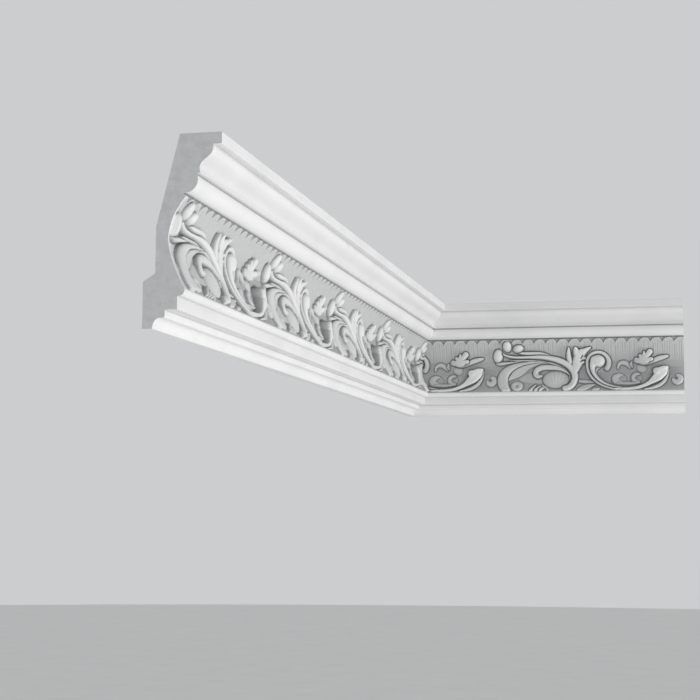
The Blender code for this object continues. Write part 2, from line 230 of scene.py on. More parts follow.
def plain_outline(section):
    """The section without its frieze, from the bead round by the wall and up to the ovolo.

    Returns the points and the first and last point of the hidden back among them. Points set at
    SPREAD from an inner corner keep the painted shade there off the flats."""
    fillet_x = PROJECTION - section.step
    fascia_z = HEIGHT - section.fascia
    cove_top = (fillet_x, fascia_z - section.fillet)
    cove_foot = (50.6 * MM, 135.0 * MM)
    bead_x = FRIEZE_BOTTOM[0] - section.bead * 0.92
    bead_z = 33.0 * MM
    lower_x = 31.4 * MM
    foot_x, soffit_z = UNDER_SOFFIT
    foot_drop = 0.3 * MM
    wall_z = 41.0 * MM
    below = [FRIEZE_BOTTOM, *arc((bead_x, bead_z), (section.bead,) * 2, 5, -90, 14),
             (lower_x, bead_z - section.bead), (lower_x, bead_z - section.bead - SPREAD),
             (lower_x, soffit_z), (foot_x + SPREAD, soffit_z), (foot_x, soffit_z),
             (foot_x, soffit_z - SPREAD), (foot_x, section.foot, 3.2 * MM),
             *arc((foot_x - 4.3 * MM, -foot_drop), (6.9 * MM, section.foot + foot_drop),
                  90, 178, 14), (0, 0)]
    behind = [(0, wall_z), (11.1 * MM, 48.2 * MM), (11.1 * MM, 88.4 * MM), (31.4 * MM, HEIGHT)]
    above = [(PROJECTION, HEIGHT), (PROJECTION, fascia_z), (fillet_x + SPREAD, fascia_z),
             (fillet_x, fascia_z),
             *bezier(cove_top, (fillet_x, cove_top[1] - section.cove),
                     (46.0 * MM, cove_top[1] - section.cove), cove_foot, 26),
             QUIRK,
             *arc((37.0 * MM, 129.0 * MM), (section.ovolo,) * 2, 18, -90, 24),
             (35.2 * MM, 117.0 * MM), FRIEZE_TOP]
    low = softened(below, section.arris)
    high = softened([behind[-1], *above], section.arris)
    points = [*low, *[Vector(point) for point in behind], *high[1:]]
    return points, len(low) - 1, len(low) + len(behind) - 1


def through(points, count=7):
    """A smooth path through a few points."""
    knots = np.array([points[0], *points, points[-1]], float)
    t = np.linspace(0, 1, count, endpoint=False)[:, None]
    spans = []
    for before, start, end, after in zip(knots, knots[1:], knots[2:], knots[3:]):
        bend = (2 * before - 5 * start + 4 * end - after) * t ** 2
        twist = (3 * start - before - 3 * end + after) * t ** 3
        spans.append((2 * start + (end - before) * t + bend + twist) / 2)
    return np.vstack([*spans, knots[-1:]])


class Relief:
    """A height map in millimetres over one repeat, built up one carved form at a time."""

    def __init__(self, along, up):
        self.along = along
        self.up = up
        self.height = np.zeros(np.broadcast(along, up).shape)

    def lay(self, *forms, moat=MOAT, cut=CUT, floor=FLOOR):
        """Puts joined forms on top, with a groove cut round them into what lies beneath."""
        outside = np.full(self.height.shape, 1e3)
        crown = np.zeros(self.height.shape)
        for away, form in forms:
            outside = np.minimum(outside, away)
            crown = np.maximum(crown, np.where(away < 0, form, 0))
        bank = np.clip(1 - outside / moat, 0, 1) ** 1.3
        under = np.maximum(self.height - cut * bank, np.minimum(self.height, floor))
        self.height = np.where(outside < 0, crown, under)

    def tongues(self, pitch, shift, top, radius, thickness, foot):
        """A row of round-topped tongues with fine reeds that die away downwards."""
        across = (self.along - shift + pitch / 2) % pitch - pitch / 2
        crown = top - radius + np.sqrt(np.clip(radius ** 2 - across ** 2, 0, None))
        inside = crown - self.up
        joined = np.clip((top - 4.4 - self.up) / 2.4, 0, 1)
        rounded = np.maximum(np.clip(inside / 1.3, 0, 1) ** 0.5, joined)
        fade = np.clip((self.up - foot) / (top - foot), 0, 1)
        belly = 1 - 0.1 * (across / radius) ** 4
        rim = 0.5 * np.exp(-((inside - 1.6) / 1.1) ** 2) * (inside > 0)
        turn = 2 * math.pi * self.along
        reeds = (0.5 + 0.5 * np.cos(5 * turn / pitch)) ** 2
        reeds = reeds + 0.5 * (0.5 + 0.5 * np.cos(turn / 2.19)) ** 3
        wander = 0.7 + 0.3 * np.sin(self.along * 0.9 + 1.3 * np.sin(self.along * 0.23))
        below = np.clip((inside - 3.2) / 3, 0, 1)
        cut = 0.8 * reeds * below * fade ** 0.5 * wander
        spandrel = 0.7 * np.clip(-inside - 0.9, 0, 1) - 0.9 * np.clip(-inside, 0, 1)
        self.height = thickness * rounded * fade ** 0.8 * belly + rim - cut + spandrel

    def along_path(self, path, widths):
        """For each point: the way out of a swept form, its half width, side and place."""
        path = np.array(path)
        half = np.interp(np.linspace(0, 1, len(path)),
                         np.linspace(0, 1, len(widths)), widths) / 2
        margin = max(widths) / 2 + 3
        near = ((self.along > path[:, 0].min() - margin) & (self.along < path[:, 0].max() + margin)
                & (self.up > path[:, 1].min() - margin) & (self.up < path[:, 1].max() + margin))
        spots = np.nonzero(near)
        along = np.broadcast_to(self.along, near.shape)[spots]
        up = np.broadcast_to(self.up, near.shape)[spots]
        nearest = np.full(along.shape, 1e3)
        reach = np.ones(along.shape)
        side = np.zeros(along.shape)
        travel = np.zeros(along.shape)
        for index, (start, end) in enumerate(zip(path, path[1:])):
            step = end - start
            ahead = (along - start[0]) * step[0] + (up - start[1]) * step[1]
            place = np.clip(ahead / (step @ step), 0, 1)
            off_x = along - start[0] - place * step[0]
            off_z = up - start[1] - place * step[1]
            local = half[index] + place * (half[index + 1] - half[index])
            outside = np.hypot(off_x, off_z) - local
            closer = outside < nearest
            nearest = np.where(closer, outside, nearest)
            reach = np.where(closer, local, reach)
            turn = np.sign(step[0] * off_z - step[1] * off_x)
            side = np.where(closer, turn * (outside + local) / local, side)
            travel = np.where(closer, (index + place) / (len(path) - 1), travel)
        fields = []
        for values, empty in ((nearest, 1e3), (reach, 1.0), (side, 0.0), (travel, 0.0)):
            full = np.full(near.shape, empty)
            full[spots] = values
            fields.append(full)
        return fields

    def band(self, path, widths, thickness, fullness=3.0, lean=0.0, veins=0):
        """A swept form. lean tips its crown to one side, veins is the number of side cuts.

        thickness is one height, or heights spread along the path."""
        outside, reach, side, travel = self.along_path(path, widths)
        if np.ndim(thickness):
            thickness = np.interp(travel, np.linspace(0, 1, len(thickness)), thickness)
        inward = np.clip(1 + outside / reach, 0, 1)
        form = thickness * np.clip(1 - inward ** fullness, 0, 1) ** 0.5 * (1 + lean * side)
        if veins:
            slant = np.cos(2 * math.pi * veins * (travel - 0.14 * np.abs(side)))
            form = form * (1 - 0.2 * np.clip(slant, 0, 1) ** 3 * np.clip(np.abs(side) * 4, 0, 1))
            form = form * (1 - 0.25 * np.exp(-(side / 0.12) ** 2))
        return outside, form

    def dome(self, centre, radii, thickness, tilt=0, eye=0.0, sunk=0.9, fan=0, fullness=2.6):
        """A domed oval. eye and sunk are a dimple's size and depth, fan counts a shell's flutes."""
        turn = math.radians(tilt)
        off_x = self.along - centre[0]
        off_z = self.up - centre[1]
        across = (off_x * math.cos(turn) + off_z * math.sin(turn)) / radii[0]
        rise = (off_z * math.cos(turn) - off_x * math.sin(turn)) / radii[1]
        ring = np.hypot(across, rise)
        form = thickness * np.clip(1 - ring ** fullness, 0, 1) ** 0.5
        if eye:
            form = form * (1 - sunk * np.exp(-(ring / eye) ** 2))
        if fan:
            sweep = np.arctan2(off_x, off_z + radii[1] * 1.3)
            form = form * (0.95 + 0.05 * np.cos(fan * sweep))
        return (ring - 1) * min(radii), form

    def fading(self, form, start, end):
        """A form that sinks into the ground between two places along the run."""
        gone = np.clip((self.along - start) / (end - start), 0, 1)
        return form[0] + 3 * gone, form[1] * (1 - gone)


def carve(along, up, frieze, whole):
    """The heights, in millimetres, of one repeat of the frieze. whole keeps its buds and scroll."""
    relief = Relief(along, up)
    relief.tongues(frieze.repeat / MM / frieze.tongues, shift=-1.6, top=116.3, radius=9.0,
                   thickness=2.4, foot=82)
    carve_foot_leaves(relief)
    if whole:
        carve_buds(relief)
        carve_leaf_scroll(relief)
    carve_trunk(relief)
    carve_volute(relief)
    carve_small_scrolls(relief)
    carve_crest(relief)
    carve_sweep(relief)
    return relief.height


def carve_foot_leaves(relief):
    """The low curl and the small leaves at the foot of the pattern."""
    curl = relief.band(arc((10.8, 52.4), (5.3, 5.3), 188, 440, 26),
                       (4.6, 8, 9.4, 9.6, 8.4, 5), 4.2, 4)
    relief.lay(curl, moat=1.5, cut=1.2, floor=-0.4)
    relief.lay(relief.band(through([(148.5, 50.6), (157, 49.6), (170, 48.2)]), (5, 6.4, 3.5), 2.6))
    relief.lay(relief.band(through([(147, 36.6), (155, 39.6), (165, 43), (172, 44.8)]),
                           (5, 8, 9, 7, 4, 2), 3.0, veins=3))
    relief.lay(relief.band(through([(170, 35.6), (173, 37), (177.5, 38)]), (5, 6.5, 4.5), 2.4),
               cut=1.4)


def carve_buds(relief):
    """The three buds, their pods and the thin rib that runs on under the trunk."""
    pod = through([(53, 96), (63, 95), (75, 94.8), (88, 94.6), (102, 91.8)])
    relief.lay(relief.band(pod, (1.6, 5, 6, 6, 5, 1.4), 6.4))
    relief.lay(relief.band(through([(20, 80), (27, 79.7), (38, 80.8), (56, 82.6)]),
                           (4.6, 6, 5.4, 4.2, 2.8, 1.4), 5.0))
    rib = [*bezier((40, 84), (70, 84.2), (96, 84), (116, 75)),
           *bezier((116, 75), (128, 69), (134.5, 62), (133.4, 52))[1:]]
    relief.lay(relief.band(rib, (1.6, 2.8, 3, 3, 2.8, 2.4, 2), 5.4))
    relief.lay(relief.dome((21.4, 91.6), (7.9, 10.8), 7.6, -8))
    relief.lay(relief.dome((36.4, 105.6), (7.4, 8.2), 7.8))
    relief.lay(relief.dome((53.4, 102.2), (8.7, 6.1), 7.8, 14))


def carve_leaf_scroll(relief):
    """The leaf scroll, its inner leaf, the ring flower, the hook and the sprigs."""
    relief.lay(relief.band(bezier((58, 54), (70, 58), (82, 56), (90, 50)), (8, 17, 15, 7), 1.3),
               moat=2.5, cut=0.6, floor=-0.2)
    for sprig in range(3):
        foot = 72 + 7.5 * sprig
        blade = through([(foot, 35.5), (foot + 4, 39.5), (foot + 10, 45.5 - 2 * sprig)])
        relief.lay(relief.band(blade, (3, 5.4, 4, 1.4), 4.2), cut=1.6)
    relief.lay(relief.band(through([(91, 44.5), (97, 41), (100, 36)]), (3, 5, 3), 2.2), cut=1.6)
    inner = through([(37.6, 52.4), (47, 61), (57, 68), (70, 74.6), (85, 78.6), (100, 79.6)])
    relief.lay(relief.band(inner, (1.6, 7, 12.5, 15.5, 14, 10, 7.4, 5.6, 3.6, 2), 3.4, 4, 0.3),
               cut=1.0, floor=-0.2)
    outer = [*bezier((96, 81.4), (72, 82), (50, 79.5), (37, 69)),
             *bezier((37, 69), (27, 60), (26.5, 48), (36, 37))[1:]]
    relief.lay(relief.band(outer, (1.6, 3, 5, 9, 13.5, 16.5, 17.5, 16.5, 12), 5.2, 4, 0.12),
               cut=1.8)
    relief.lay(relief.dome((52, 43.4), (9.8, 7.9), 4.8, eye=0.36, sunk=0.7), cut=1.8, floor=-0.6)
    hook = [*bezier((133, 60), (126, 69), (112, 73), (98, 73.2)),
            *bezier((98, 73.2), (84, 73.6), (78.5, 67), (81, 61))[1:],
            *bezier((81, 61), (83, 57.8), (86, 57.8), (89, 59.5))[1:]]
    relief.lay(relief.band(hook, (1.6, 5, 8, 9, 9, 9, 8.6, 7.6, 6, 4.6), 5.6, 3.6))


def carve_trunk(relief):
    """The shell, and the stem that swells into the trunk with the upright leaf on its back."""
    relief.lay(relief.dome((112, 53.4), (20.6, 14), 5.4, fan=26, fullness=2.0), cut=3.2)
    stem = [*bezier((30, 94.6), (40, 87), (60, 89.6), (84, 89.2)),
            *bezier((84, 89.2), (112, 88.4), (141, 78), (141.4, 56))[1:],
            *bezier((141.4, 56), (141, 46), (134, 38.6), (126, 39.4))[1:]]
    body = relief.band(stem, (3, 4, 4.2, 4.8, 7, 9.6, 10.6, 10.6, 10.2, 10, 9.4, 8.4), 7.0)
    leaf = [relief.band(through([(140, 66), (145, 80), (147, 91)]), (11, 17, 17), 7.0, 4),
            relief.band(through([(134, 80), (131.5, 91), (132, 102.4)]), (7, 9, 7, 2.4), 6.6),
            relief.band(through([(147, 86), (143.6, 96), (142, 102.6)]), (16, 13, 9, 3.6), 7.0),
            relief.band(through([(148, 88), (156, 97.5), (165.6, 102.6)]), (14, 11, 7, 2), 7.0),
            relief.band(through([(147, 86), (149.6, 94), (152, 98.4)]), (14, 12, 6), 6.8),
            relief.band([(148, 86), (153, 86.6), (157, 86.2)], (7, 6, 4), 6.6),
            relief.band([(146, 78), (151, 79.6), (154.4, 80.2)], (8, 6.4, 4), 6.6)]
    relief.lay(body, *leaf)
    root = np.array([144.5, 78])
    for notch in ((137.6, 94.6), (153.2, 90.4), (152.6, 83)):
        inner = root + 0.62 * (np.array(notch) - root)
        relief.lay(relief.band([inner, notch], (0.5, 1.6), 1.0, 2), moat=1.4, cut=1.4)


def carve_volute(relief):
    """The great volute with its filled bulb and tongue."""
    ring = [*arc((176.5, 79.5), (16.6, 15.8), -36, 180, 40),
            *bezier((159.9, 79.5), (159, 61), (172, 42), (206, 36.8))[1:]]
    relief.lay(relief.band(ring, (8, 7.6, 6.2, 5.6, 5.4, 5.2, 5, 4.8, 4, 3),
                           (4, 5, 6, 6, 6, 6, 6, 5.6), 4))
    tongue = [*bezier((171, 84), (165.6, 74), (168, 62), (177.6, 53)),
              *bezier((177.6, 53), (185, 46), (196, 41.4), (212, 39.6))[1:]]
    relief.lay(relief.dome((176.6, 81.6), (11, 10), 10.6, fullness=4),
               relief.band(tongue, (12, 9.4, 7.4, 5.6, 4.8, 4, 3.4, 2.6),
                           (10, 9, 8, 7, 6, 5.6), 3.6))
    relief.lay(relief.band(bezier((178, 71), (173.5, 72), (173, 67), (174, 63)), (3, 5, 4, 1.6),
                           2.0), cut=1.4)


def carve_small_scrolls(relief):
    """The pair of low scrolls inside the sweep and the curl above them."""
    lobe = relief.dome((211, 53.2), (13.6, 9.4), 1.4, fullness=4)
    relief.lay(relief.fading(lobe, 205, 219), moat=1.4, cut=1.8, floor=-0.8)
    first = relief.band(arc((212.6, 53.4), (9.8, 6), 290, 62, 30), (4, 8, 11, 11, 9, 6, 4), 3.4, 4)
    relief.lay(relief.fading(first, 209, 221), moat=0.9, cut=0.5, floor=-0.5)
    lobe = relief.dome((237, 54.2), (10.6, 9), 1.4, fullness=4)
    relief.lay(relief.fading(lobe, 232, 245), moat=1.4, cut=1.8, floor=-0.8)
    second = relief.band(arc((237, 54.6), (6.8, 6), 290, 75, 30), (3, 5, 7, 7.2, 7, 6, 4), 3.6, 4)
    relief.lay(second, moat=1.2, cut=1.2, floor=-0.8)
    strip = through([(206, 46.6), (216, 46), (228, 45.8), (240, 47)])
    relief.lay(relief.band(strip, (3, 5, 5, 3), 3.0), moat=1.2, cut=1.2, floor=-0.5)
    curl = [*bezier((206.6, 70), (207, 79), (214, 80.6), (219, 77.6)),
            *bezier((219, 77.6), (223, 75), (224.4, 72), (225.6, 69.4))[1:]]
    relief.lay(relief.band(curl, (3, 5.6, 7.4, 7, 5, 2), 3.6), cut=1.5, floor=-0.5)
    relief.lay(relief.band(through([(228, 80.4), (226.6, 76), (228.6, 71.6)]), (2, 5.2, 3), 2.8))
    relief.lay(relief.dome((243, 69.4), (8.4, 6.4), 3.2, -20, fullness=2), moat=1.0, cut=0.3)


def carve_crest(relief):
    """The lobed leaf at the crest and the pointed leaf beside it."""
    relief.lay(relief.band(through([(250, 75), (258, 79.4), (267, 84), (276, 86.6), (282, 88)]),
                           (1.8, 4.4, 7.4, 7.8, 6.4, 3.6), 5.0, 4))
    lobes = (((244, 81), (235, 81.8), (9, 8.6)), ((236, 84), (234.2, 84.6), (5, 4.4)),
             ((244, 83), (240.8, 89), (8, 6)), ((246, 85), (246.8, 94.2), (8, 4)),
             ((248, 85), (255.4, 94.8), (8, 9)), ((250, 82), (257.4, 83.4), (7, 7)))
    leaf = [relief.dome((246, 81), (9.6, 6.6), 8.6, fullness=5),
            *[relief.band([root, tip], widths, 8.6, 5) for root, tip, widths in lobes]]
    slope = np.interp(relief.along, (231, 262), (0.4, 1.0))
    relief.lay(*[(outside, form * slope) for outside, form in leaf])


def carve_sweep(relief):
    """The long sweep that rises into a curled leaf, and the leaf edge under it."""
    relief.lay(relief.band(bezier((247, 36.4), (262, 38), (283, 43), (283.4, 68)),
                           (1.6, 4.6, 6, 5, 1.6), 4.6))
    path = [*bezier((203, 37.4), (224, 37.4), (241, 36.6), (256, 47)),
            *bezier((256, 47), (264, 53), (273, 60), (281, 70.4))[1:]]
    relief.lay(relief.band(path, (3, 4, 4.6, 5.2, 7.4, 11.4, 15.5, 15, 4),
                           (5.6, 5.6, 6, 6.6, 7.6, 9, 10.4, 10.4, 9.4), 8.0, 0.16),
               relief.dome((265.6, 64.4), (6, 6), 12, fullness=8),
               relief.band(through([(268, 67), (276, 69.4), (282, 70.8)]), (6, 7, 3), (12, 11, 9), 8))


def blurred(values, reach):
    """A height map smoothed over a few cells. It wraps round along the run."""
    offsets = np.arange(-3 * reach, 3 * reach + 1)
    weights = np.exp(-0.5 * (offsets / reach) ** 2)
    weights = weights / weights.sum()
    along = sum(weight * np.roll(values, offset, axis=0)
                for offset, weight in zip(offsets, weights))
    padded = np.pad(along, ((0, 0), (3 * reach, 3 * reach)), mode="edge")
    width = values.shape[1]
    return sum(weight * padded[:, index:index + width] for index, weight in enumerate(weights))


def painted_shade_of(height, along, up, reach):
    """How much painted shade lies at each point, from 0 on the crests to 1 in the grooves. The shade
    stands in for a light low on the right: it is painted on flanks that face away from that light and
    on flanks that face up, and less so high up, where the ground leans out over it."""
    capped = np.minimum(height, 7)
    # Painted shade by height: most below the ground, less on low forms, least on high crests.
    ground = np.interp(capped, (-1.2, 0, 2.3, 4.8, 7), (0.95, 0.62, 0.48, 0.28, 0.12))
    # More painted shade where the surface lies below its blurred height.
    hollow = np.clip(blurred(capped, reach) - capped, 0, 3)
    # Painted shade on flanks that face away from the light low on the right, and on flanks that face
    # up.
    rise_along, rise_up = np.gradient(height, along, up)
    flank = np.clip((np.maximum(rise_along, -rise_up) - 2) / 3, 0, 1)
    flank = flank * np.interp(up, (76, 90), (1, 0.4))
    return np.clip(ground + 0.3 * hollow + 0.5 * flank, 0, 1)


def carved_repeat(frieze, whole=True):
    """One repeat of the frieze as a mesh sheet. Its length lies along Y."""
    coarse = 1
    columns = int(round(frieze.repeat / frieze.cell / coarse)) + 1
    rows = frieze.rows // coarse
    ground = frieze_line(rows)
    along = np.linspace(0, frieze.repeat, columns)
    along_mm = along / MM
    up_mm = ground[:, 1] / MM
    height = carve(along_mm[:, None], up_mm[None, :], frieze, whole)
    height[-1] = height[0]
    row = np.arange(rows)
    edge = np.clip(np.minimum(row * 2, row.max() - row) / (4.0 / coarse), 0, 1)
    place = np.zeros((columns, rows, 3))
    place[:, :, 0] = ground[None, :, 0] + height * edge * MM
    place[:, :, 1] = along[:, None]
    place[:, :, 2] = ground[None, :, 1]
    # Painted shadow in a band along the frieze's top, under the ovolo's lip.
    painted_shadow_under_lip = np.clip(0.9 - row[None, :] * coarse / 3.0, 0, 1)
    painted_shade = np.maximum(painted_shade_of(height, along_mm, up_mm, 4 // coarse), painted_shadow_under_lip)
    first = (np.arange(columns - 1)[:, None] * rows + np.arange(rows - 1)).reshape(-1)
    faces = np.stack([first, first + 1, first + rows + 1, first + rows], axis=-1)
    mesh = bpy.data.meshes.new("frieze_repeat")
    mesh.from_pydata(place.reshape(-1, 3).tolist(), [], faces.tolist())
    # The painted shade is stored on the mesh for the primer material.
    hollow = mesh.attributes.new("painted_shade", "FLOAT", "POINT")
    hollow.data.foreach_set("value", painted_shade.reshape(-1).astype(np.float32))
    return mesh


def repeat_tree(material):
    """Geometry Nodes that lay a carved repeat end to end along a run."""
    tree = bpy.data.node_groups.new("Frieze along a run", "GeometryNodeTree")
    face = tree.interface
    for name, kind in (("Geometry", "Geometry"), ("Repeats", "Int"), ("Spacing", "Float"),
                       ("Start", "Float"), ("Weld", "Float")):
        face.new_socket(name, in_out="INPUT", socket_type="NodeSocket" + kind)
    face.new_socket("Geometry", in_out="OUTPUT", socket_type="NodeSocketGeometry")
    make = tree.nodes.new
    join = tree.links.new
    inside = make("NodeGroupInput")
    outside = make("NodeGroupOutput")
    step = make("ShaderNodeCombineXYZ")
    first = make("ShaderNodeCombineXYZ")
    line = make("GeometryNodeMeshLine")
    lay = make("GeometryNodeInstanceOnPoints")
    realize = make("GeometryNodeRealizeInstances")
    weld = make("GeometryNodeMergeByDistance")
    finish = make("GeometryNodeSetMaterial")
    finish.inputs["Material"].default_value = material
    join(inside.outputs["Repeats"], line.inputs["Count"])
    join(inside.outputs["Spacing"], step.inputs["Y"])
    join(inside.outputs["Start"], first.inputs["Y"])
    join(step.outputs["Vector"], line.inputs["Offset"])
    join(first.outputs["Vector"], line.inputs["Start Location"])
    join(line.outputs["Mesh"], lay.inputs["Points"])
    join(inside.outputs["Geometry"], lay.inputs["Instance"])
    join(lay.outputs["Instances"], realize.inputs["Geometry"])
    join(realize.outputs["Geometry"], weld.inputs["Geometry"])
    join(inside.outputs["Weld"], weld.inputs["Distance"])
    join(weld.outputs["Geometry"], finish.inputs["Geometry"])
    join(finish.outputs["Geometry"], outside.inputs["Geometry"])
    return tree


def set_input(modifier, name, value):
    """Sets a Geometry Nodes input by its socket's identifier."""
    for item in modifier.node_group.interface.items_tree:
        if item.item_type == "SOCKET" and item.in_out == "INPUT" and item.name == name:
            modifier[item.identifier] = value


def applied(item):
    """Turns what the object's modifiers make into its own plain mesh."""
    graph = bpy.context.evaluated_depsgraph_get()
    mesh = bpy.data.meshes.new_from_object(item.evaluated_get(graph))
    item.modifiers.clear()
    item.data = mesh


def settle_margin(shape):
    """Leaves a plain margin with little painted shade beside the square end that the viewer sees.

    It is widest beside the leaf scroll, and higher up it carries on the tongues' thickness."""
    ground = frieze_line(count=200)[::-1]
    # The small amount of painted shade left in the margin.
    margin_shade = 0.12
    painted_shade = shape.verts.layers.float["painted_shade"]
    for vertex in shape.verts:
        if vertex.co.y > MARGIN:
            continue
        up = vertex.co.z / MM
        clear = np.interp(up, (60, 78), (7.2, 2.6)) * MM
        slope = np.interp(up, (60, 78), (1.0, 4.0)) * MM
        lift = np.interp(up, (78, 90, 106, 114.5, 116), (0, 1.8, 3.2, 2.4, 0)) * MM
        plain = np.interp(vertex.co.z, ground[:, 1], ground[:, 0]) + lift
        share = min(max((vertex.co.y - clear) / slope, 0), 1)
        vertex.co.x = plain + (vertex.co.x - plain) * share
        # Eases the painted shade down to the margin's amount.
        vertex[painted_shade] = margin_shade + (vertex[painted_shade] - margin_shade) * share


def frieze_sheet(name, length, start, ends, triangles, margin, plain_last):
    """The carved sheet of one run, cut off at its end planes and thinned.

    margin leaves the near end plain. plain_last leaves the buds and the leaf scroll out of
    the last, unfinished repeat."""
    frieze = bpy.context.scene.cornice_frieze
    sheet = bpy.data.objects.new(name, carved_repeat(frieze))
    bpy.context.scene.collection.objects.link(sheet)
    lay = sheet.modifiers.new("Lay repeats", "NODES")
    lay.node_group = repeat_tree(white_primer())
    repeats = math.ceil((length + start) / frieze.repeat)
    set_input(lay, "Repeats", repeats - 1 if plain_last else repeats)
    set_input(lay, "Spacing", frieze.repeat)
    set_input(lay, "Start", -start)
    set_input(lay, "Weld", WELD)
    applied(sheet)
    shape = bmesh.new()
    shape.from_mesh(sheet.data)
    if plain_last:
        last = carved_repeat(frieze, whole=False)
        last.transform(Matrix.Translation((0, (repeats - 1) * frieze.repeat - start, 0)))
        shape.from_mesh(last)
        bmesh.ops.remove_doubles(shape, verts=shape.verts, dist=WELD)
    if margin:
        settle_margin(shape)
    for point, normal in ends:
        geometry = [*shape.verts, *shape.edges, *shape.faces]
        bmesh.ops.bisect_plane(shape, geom=geometry, plane_co=point, plane_no=normal, dist=1e-6,
                               clear_outer=True)
    shape.to_mesh(sheet.data)
    shape.free()
    faces = sum(face.loop_total - 2 for face in sheet.data.polygons)
    thin = sheet.modifiers.new("Thin", "DECIMATE")
    thin.ratio = min(1.0, triangles / faces)
    applied(sheet)
    return sheet


def rim_of(shape):
    """The vertices on a sheet's rim."""
    return {vertex for edge in shape.edges if edge.is_boundary for vertex in edge.verts}


def rim_chains(shape, ends):
    """The sheet's rim, laid true: its top, its bottom, and each end from the top down."""
    exact = 1e-7
    planes = [(Vector(point), Vector(normal).normalized()) for point, normal in ends]
    for vertex in rim_of(shape):
        for line in (FRIEZE_TOP, FRIEZE_BOTTOM):
            if abs(vertex.co.z - line[1]) < WELD:
                vertex.co.x, vertex.co.z = line
        for point, normal in planes:
            off = (vertex.co - point).dot(normal)
            if abs(off) < WELD:
                vertex.co.y -= off / normal.y
    bmesh.ops.remove_doubles(shape, verts=list(rim_of(shape)), dist=WELD / 2)
    rim = rim_of(shape)
    chains = []
    for _, level in (FRIEZE_TOP, FRIEZE_BOTTOM):
        chain = [vertex for vertex in rim if abs(vertex.co.z - level) < exact]
        chains.append(sorted(chain, key=lambda vertex: vertex.co.y))
    for point, normal in planes:
        chain = [vertex for vertex in rim if abs((vertex.co - point).dot(normal)) < exact]
        chains.append(sorted(chain, key=lambda vertex: -vertex.co.z))
    return chains


def add_mouldings(shape, points, back_first, back_last, ends):
    """Sweeps the plain mouldings from the sheet's bottom edge round to its top edge.

    The rings at the two ends close the run; the strips that meet the sheet are fans.
    Returns the strips in order round the section."""
    top, bottom, *end_chains = rim_chains(shape, ends)
    painted_shade = shape.verts.layers.float["painted_shade"]
    rings = []
    for (point, normal), corner in zip(ends, (0, -1)):
        normal = Vector(normal)
        ring = [bottom[corner]]
        for x, z in points[1:-1]:
            y = point[1] - normal.x * (x - point[0]) / normal.y
            vertex = shape.verts.new((x, y, z))
            # Painted shade in the section's inner corners and its upper cove.
            vertex[painted_shade] = painted_shade_at(x, z)
            ring.append(vertex)
        ring.append(top[corner])
        rings.append(ring)
    near, far = rings
    strips = []
    for index in range(1, len(points) - 2):
        strip = shape.faces.new((near[index], near[index + 1], far[index + 1], far[index]))
        strip.material_index = SKIN if back_first <= index < back_last else PRIMER
        strip.smooth = True
        strips.append(strip)
    for chain, low, high in ((bottom, near[1], far[1]), (top, near[-2], far[-2])):
        middle = len(chain) // 2
        for index, (first, second) in enumerate(zip(chain, chain[1:])):
            shape.faces.new((first, second, low if index < middle else high))
        shape.faces.new((low, chain[middle], high))
    for ring, chain in zip(rings, end_chains):
        cap = shape.faces.new([*ring, *chain[1:-1]])
        cap.material_index = FOAM
    return strips


def run_piece(name, length, start, ends, triangles, place, margin=False, plain_last=False):
    """One whole run of the cornice, closed, with its finish, in place."""
    section = bpy.context.scene.cornice_section
    sheet = frieze_sheet(name, length, start, ends, triangles, margin, plain_last)
    shape = bmesh.new()
    shape.from_mesh(sheet.data)
    for face in shape.faces:
        face.smooth = True
        face.material_index = PRIMER
    points, back_first, back_last = plain_outline(section)
    strips = add_mouldings(shape, points, back_first, back_last, ends)
    bmesh.ops.recalc_face_normals(shape, faces=shape.faces)
    sharpen(shape, strips)
    sheet.data.materials.clear()
    for material in (white_primer(), cut_foam(), bare_skin()):
        sheet.data.materials.append(material)
    shape.to_mesh(sheet.data)
    shape.free()
    sheet.data.name = name
    sheet.data.transform(place)
    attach(sheet, "root")
    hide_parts(name)


def sharpen(shape, strips):
    """Keeps the flats flat between their soft arrises, and the cut ends crisp."""
    for edge in shape.edges:
        if edge.calc_face_angle(0) > CRISP:
            edge.smooth = False
        if any(face.material_index == FOAM for face in edge.link_faces):
            edge.smooth = False
    for first, second in zip(strips, strips[1:]):
        wide, narrow = sorted((first.calc_area(), second.calc_area()), reverse=True)
        if wide > FLAT * narrow:
            for edge in set(first.edges) & set(second.edges):
                edge.smooth = False


def new_material(name, rough):
    """A node material with its tree and its shader, which are None if it was there before."""
    material = bpy.data.materials.get(name)
    if material:
        return material, None, None
    material = bpy.data.materials.new(name)
    material.use_nodes = True
    tree = material.node_tree
    shader = tree.nodes["Principled BSDF"]
    shader.inputs["Roughness"].default_value = rough
    return material, tree, shader


def noise(tree, scale, detail=3.0, rough=0.5):
    """A noise in Object coordinates. Scale is in features a metre."""
    place = tree.nodes.get("Texture Coordinate") or tree.nodes.new("ShaderNodeTexCoord")
    texture = tree.nodes.new("ShaderNodeTexNoise")
    texture.inputs["Scale"].default_value = scale
    texture.inputs["Detail"].default_value = detail
    texture.inputs["Roughness"].default_value = rough
    tree.links.new(place.outputs["Object"], texture.inputs["Vector"])
    return texture.outputs["Fac"]


def colour_ramp(tree, source, low, high, start=0.35, end=0.65):
    """Two colours mixed by a value."""
    ramp = tree.nodes.new("ShaderNodeValToRGB")
    ramp.color_ramp.elements[0].position = start
    ramp.color_ramp.elements[0].color = (*low, 1)
    ramp.color_ramp.elements[1].position = end
    ramp.color_ramp.elements[1].color = (*high, 1)
    tree.links.new(source, ramp.inputs["Fac"])
    return ramp.outputs["Color"]


